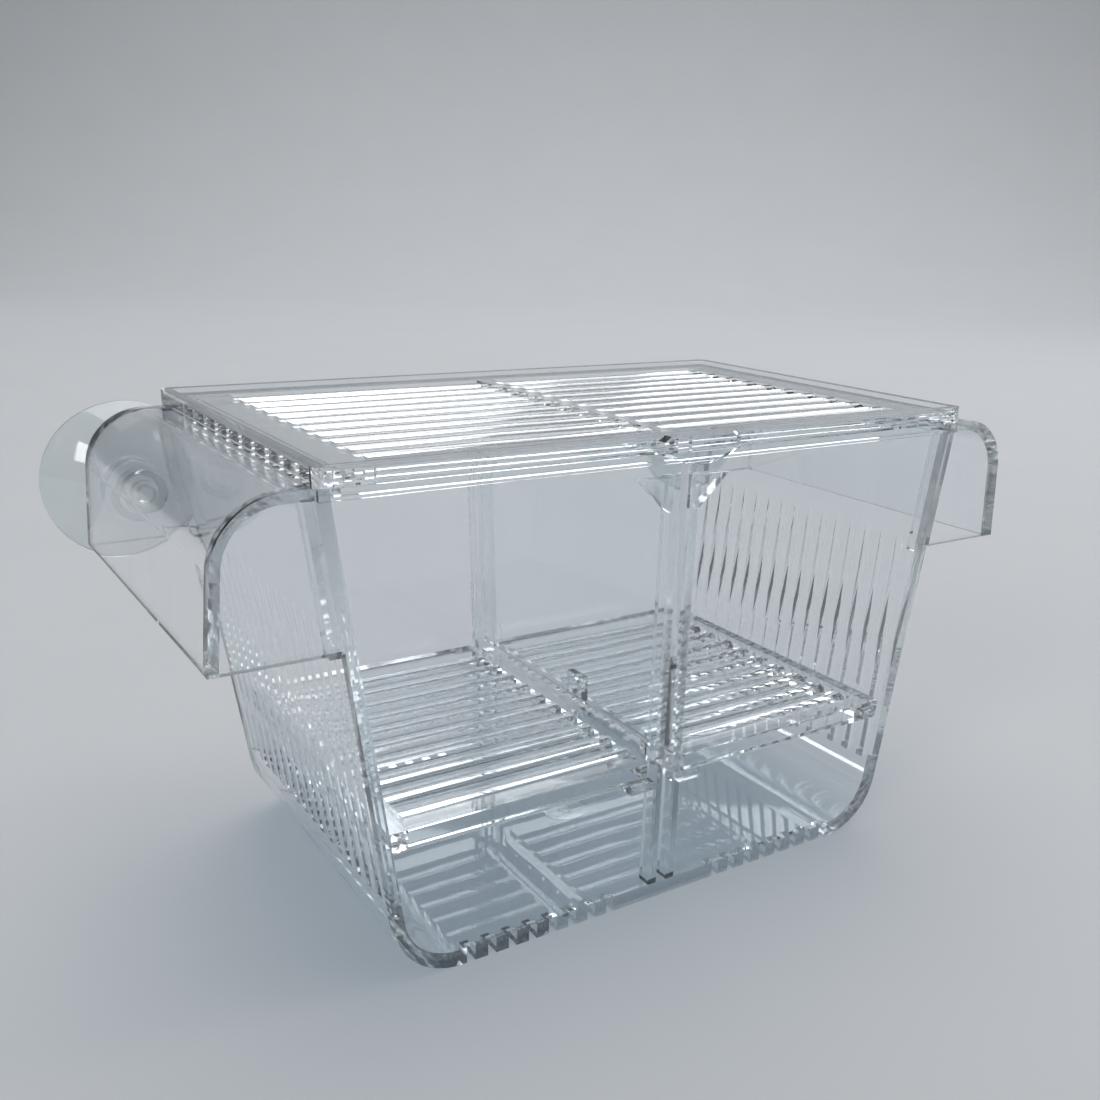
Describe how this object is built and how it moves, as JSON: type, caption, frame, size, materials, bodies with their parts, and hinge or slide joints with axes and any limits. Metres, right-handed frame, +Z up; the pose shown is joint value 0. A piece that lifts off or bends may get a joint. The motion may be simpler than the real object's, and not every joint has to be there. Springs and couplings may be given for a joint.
{
  "type": "fish breeding box",
  "caption": "Clear hanging breeding box for an aquarium: slotted tank with float wings, slotted lift-off lid, sliding divider, floor grates and suction cups.",
  "frame": {"origin": "centre of the flat underside of the tank", "axes": "+X along the length towards the right float wing, +Y towards the aquarium glass and the suction cups, +Z up"},
  "size_m": [0.1412, 0.0803, 0.073],
  "materials": {
    "tank_plastic": "clear, polished, faint cool tint",
    "lid_plastic": "clear, polished",
    "divider_plastic": "clear, polished",
    "grate_plastic": "clear, polished",
    "soft_vinyl": "clear soft vinyl, slightly milky"
  },
  "bodies": {
    "tank": {"front_panel": "tank_plastic", "back_panel": "tank_plastic", "left_end_wall": "tank_plastic", "right_end_wall": "tank_plastic", "floor_pan": "tank_plastic", "left_float_wing": "tank_plastic", "right_float_wing": "tank_plastic", "left_front_post": "tank_plastic", "right_front_post": "tank_plastic", "left_back_post": "tank_plastic", "right_back_post": "tank_plastic", "front_guide_rails": "tank_plastic", "back_guide_rails": "tank_plastic"},
    "lid": {"lid": "lid_plastic"},
    "divider": {"divider": "divider_plastic"},
    "left_grate": {"left_floor_grate": "grate_plastic"},
    "right_grate": {"right_floor_grate": "grate_plastic", "grate_lifting_tab": "grate_plastic"},
    "left_cup": {"left_suction_cup": "soft_vinyl"},
    "right_cup": {"right_suction_cup": "soft_vinyl"}
  },
  "joints": [
    {"name": "lid_lift", "type": "slide", "parent": "tank", "child": "lid", "axis": [0, 0, 1], "range_m": [0, 0.12]},
    {"name": "divider_lift", "type": "slide", "parent": "tank", "child": "divider", "axis": [0, 0, 1], "range_m": [0, 0.06]},
    {"name": "left_grate_lift", "type": "slide", "parent": "tank", "child": "left_grate", "axis": [0, 0, 1], "range_m": [0, 0.06]},
    {"name": "right_grate_lift", "type": "slide", "parent": "tank", "child": "right_grate", "axis": [0, 0, 1], "range_m": [0, 0.06]},
    {"name": "left_cup_turn", "type": "hinge", "parent": "tank", "child": "left_cup", "pos_m": [-0.05759, 0.032, 0.057], "axis": [0, 1, 0], "continuous": true},
    {"name": "right_cup_turn", "type": "hinge", "parent": "tank", "child": "right_cup", "pos_m": [0.05759, 0.032, 0.057], "axis": [0, 1, 0], "continuous": true}
  ],
  "couplings": [
    {"joint": "divider_lift", "follows": "lid_lift", "ratio": 0.5},
    {"joint": "left_grate_lift", "follows": "lid_lift", "ratio": 0.5},
    {"joint": "right_grate_lift", "follows": "lid_lift", "ratio": 0.5}
  ]
}
